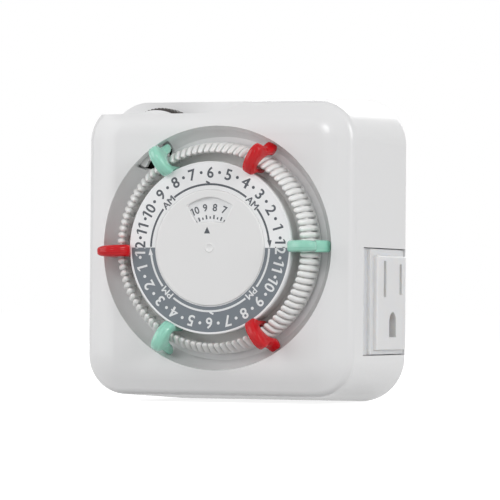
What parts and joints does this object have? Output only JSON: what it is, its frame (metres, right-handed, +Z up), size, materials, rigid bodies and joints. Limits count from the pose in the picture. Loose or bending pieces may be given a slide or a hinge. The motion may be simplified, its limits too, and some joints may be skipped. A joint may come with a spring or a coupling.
{
  "type": "plug-in timer switch",
  "caption": "Plug-in 24 hour mechanical timer: square white case, ribbed dial with sliding red and green trippers, side receptacle, plug blades at the back.",
  "frame": {"origin": "on the dial axis, in the face that meets the wall", "axes": "+X to the right as the dial is read, +Y back towards the wall, +Z up"},
  "size_m": [0.0756, 0.0735, 0.08],
  "materials": {
    "case_white": "satin moulded white plastic",
    "insert_white": "satin moulded white plastic",
    "ring_white": "satin white nylon",
    "dial_print": "white disc, printed numerals",
    "cap_white": "satin white",
    "on_green": "mint green moulded plastic",
    "off_red": "red moulded plastic",
    "wheel_black": "black knurled plastic",
    "natural_nylon": "natural nylon",
    "phenolic": "dark moulded phenolic",
    "brass": "stamped brass",
    "plated_brass": "nickel washed brass blade",
    "steel": "zinc plated steel",
    "winding": "enamelled copper wire",
    "silver": "silver contact rivet",
    "lead_white": "insulated lead"
  },
  "bodies": {
    "case": {"front_housing": "case_white", "rear_cover": "case_white", "case_screws": "steel", "movement_plate": "steel", "plate_screws": "steel", "dial_post": "steel", "arbor_pins": "steel", "centre_cap": "cap_white", "motor_can": "steel", "motor_lid": "steel", "coil_bobbin": "natural_nylon", "coil_winding": "winding", "lever_pin": "steel", "fixed_contact": "silver", "switch_base": "phenolic", "receptacle_face": "insert_white", "contact_block": "phenolic", "neutral_contact": "brass", "line_contact": "brass", "ground_contact": "brass", "neutral_blade": "plated_brass", "line_blade": "plated_brass", "ground_pin": "plated_brass", "neutral_strap": "brass", "ground_strap": "brass", "load_strap": "brass", "line_strap": "brass", "detent_leaf": "steel", "neutral_lead": "lead_white", "line_lead": "lead_white"},
    "dial": {"tripper_ring": "ring_white", "scale_disc": "dial_print", "dial_gear": "natural_nylon"},
    "second_arbor": {"second_gear": "natural_nylon"},
    "first_arbor": {"first_gear": "natural_nylon"},
    "rotor": {"motor_pinion": "natural_nylon", "motor_rotor": "steel"},
    "override": {"override_wheel": "wheel_black", "override_axle": "natural_nylon", "star_wheel": "natural_nylon", "switch_cam": "natural_nylon"},
    "lever": {"switch_lever": "brass", "moving_contact": "silver"},
    "on_tripper_1": {"on_tripper_1": "on_green"},
    "off_tripper_1": {"off_tripper_1": "off_red"},
    "on_tripper_2": {"on_tripper_2": "on_green"},
    "off_tripper_2": {"off_tripper_2": "off_red"},
    "on_tripper_3": {"on_tripper_3": "on_green"},
    "off_tripper_3": {"off_tripper_3": "off_red"}
  },
  "joints": [
    {"name": "dial_turn", "type": "hinge", "parent": "case", "child": "dial", "pos_m": [0, -0.0435, 0], "axis": [0, -1, 0], "continuous": true},
    {"name": "second_arbor_turn", "type": "hinge", "parent": "case", "child": "second_arbor", "pos_m": [-0.01176, -0.033, -0.01679], "axis": [0, -1, 0], "continuous": true},
    {"name": "first_arbor_turn", "type": "hinge", "parent": "case", "child": "first_arbor", "pos_m": [-0.02303, -0.033, -0.0209], "axis": [0, -1, 0], "continuous": true},
    {"name": "rotor_turn", "type": "hinge", "parent": "case", "child": "rotor", "pos_m": [-0.01803, -0.021, -0.01224], "axis": [0, -1, 0], "continuous": true},
    {"name": "override_turn", "type": "hinge", "parent": "case", "child": "override", "pos_m": [-0.0198, -0.0315, 0.026], "axis": [0, -1, 0], "continuous": true},
    {"name": "lever_tilt", "type": "hinge", "parent": "case", "child": "lever", "pos_m": [-0.004, -0.0216, 0.0305], "axis": [0, 1, 0], "range_deg": [0, 8], "stiffness_Nm_per_rad": 0.004, "springref_deg": -14.32},
    {"name": "on_tripper_1_set", "type": "hinge", "parent": "dial", "child": "on_tripper_1", "pos_m": [0, -0.0455, 0], "axis": [0, -1, 0], "range_deg": [-25, 25]},
    {"name": "on_tripper_2_set", "type": "hinge", "parent": "dial", "child": "on_tripper_2", "pos_m": [0, -0.0455, 0], "axis": [0, -1, 0], "range_deg": [-25, 25]},
    {"name": "on_tripper_3_set", "type": "hinge", "parent": "dial", "child": "on_tripper_3", "pos_m": [0, -0.0455, 0], "axis": [0, -1, 0], "range_deg": [-25, 25]},
    {"name": "off_tripper_1_set", "type": "hinge", "parent": "dial", "child": "off_tripper_1", "pos_m": [0, -0.0455, 0], "axis": [0, -1, 0], "range_deg": [-25, 25]},
    {"name": "off_tripper_2_set", "type": "hinge", "parent": "dial", "child": "off_tripper_2", "pos_m": [0, -0.0455, 0], "axis": [0, -1, 0], "range_deg": [-25, 25]},
    {"name": "off_tripper_3_set", "type": "hinge", "parent": "dial", "child": "off_tripper_3", "pos_m": [0, -0.0455, 0], "axis": [0, -1, 0], "range_deg": [-25, 25]}
  ],
  "couplings": [
    {"joint": "second_arbor_turn", "follows": "dial_turn", "ratio": -7.2},
    {"joint": "first_arbor_turn", "follows": "dial_turn", "ratio": 36},
    {"joint": "rotor_turn", "follows": "dial_turn", "ratio": -144}
  ]
}
